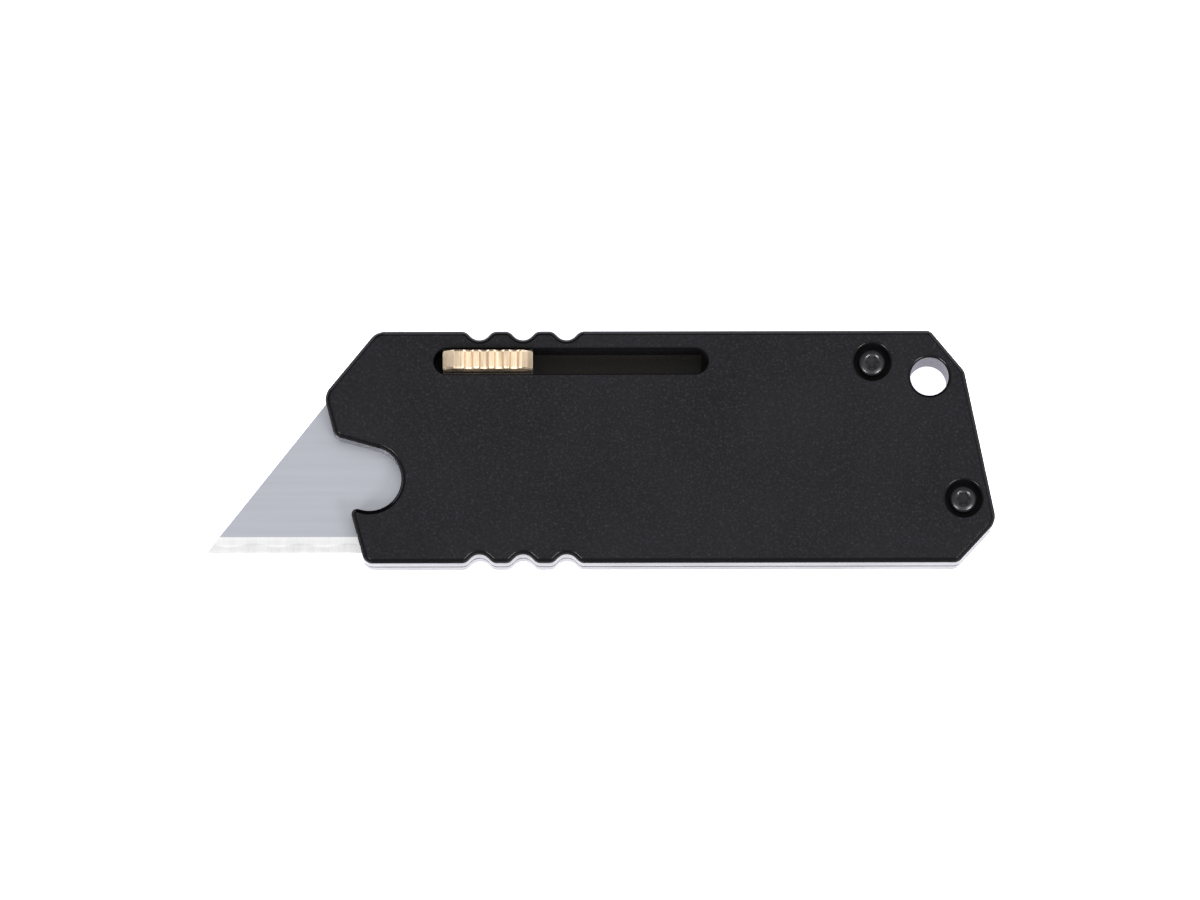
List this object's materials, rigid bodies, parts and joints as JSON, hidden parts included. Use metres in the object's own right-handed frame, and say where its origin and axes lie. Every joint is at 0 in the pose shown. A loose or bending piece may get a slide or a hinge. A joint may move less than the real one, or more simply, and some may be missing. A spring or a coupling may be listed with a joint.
{
  "type": "utility knife",
  "caption": "Slide-out utility knife with a flat angular metal body, a trapezoid blade, a grooved thumb slider in a slot, a finger notch and a lanyard hole.",
  "frame": {"origin": "under the middle of the whole knife with its blade out, on the plane of the rear scale's flat back", "axes": "+X towards the lanyard end, away from the blade's tip; +Y towards the slot and the spine, away from the cutting edge; +Z out of the front scale, on the side of the thumb slider"},
  "size_m": [0.0972, 0.0288, 0.0104],
  "materials": {
    "scale": "black hard-anodised, satin with a fine blasted grain",
    "black_screw": "black oxide on steel, semi-gloss",
    "blade_steel": "ground carbon steel with a polished edge bevel",
    "slider_brass": "pale brass, bead blasted then brushed across",
    "carrier_black": "black oxide, satin",
    "stainless": "plain machined stainless steel",
    "spring_steel": "blued spring steel",
    "magnet_nickel": "nickel plate"
  },
  "bodies": {
    "shell": {"front_scale": "scale", "rear_scale": "scale", "detent_strip": "spring_steel", "body_screw_upper": "black_screw", "body_screw_lower": "black_screw", "body_screw_nose": "black_screw", "insert_upper": "stainless", "insert_lower": "stainless", "insert_nose": "stainless", "dowel_nose": "stainless", "dowel_tail": "stainless"},
    "carriage": {"blade": "blade_steel", "blade_carrier": "carrier_black", "thumb_slider": "slider_brass", "slider_screw_front": "black_screw", "slider_screw_rear": "black_screw", "blade_magnet_front": "magnet_nickel", "blade_magnet_rear": "magnet_nickel", "detent_spring": "spring_steel"},
    "detent": {"detent_ball": "stainless"}
  },
  "joints": [
    {"name": "blade_slide", "type": "slide", "parent": "shell", "child": "carriage", "axis": [1, 0, 0], "range_m": [0, 0.0205]},
    {"name": "detent_press", "type": "slide", "parent": "carriage", "child": "detent", "axis": [0, 0, 1], "range_m": [-0.0002, 0], "stiffness_N_per_m": 500, "springref_m": -0.0003, "deforming": ["detent_spring"]}
  ]
}
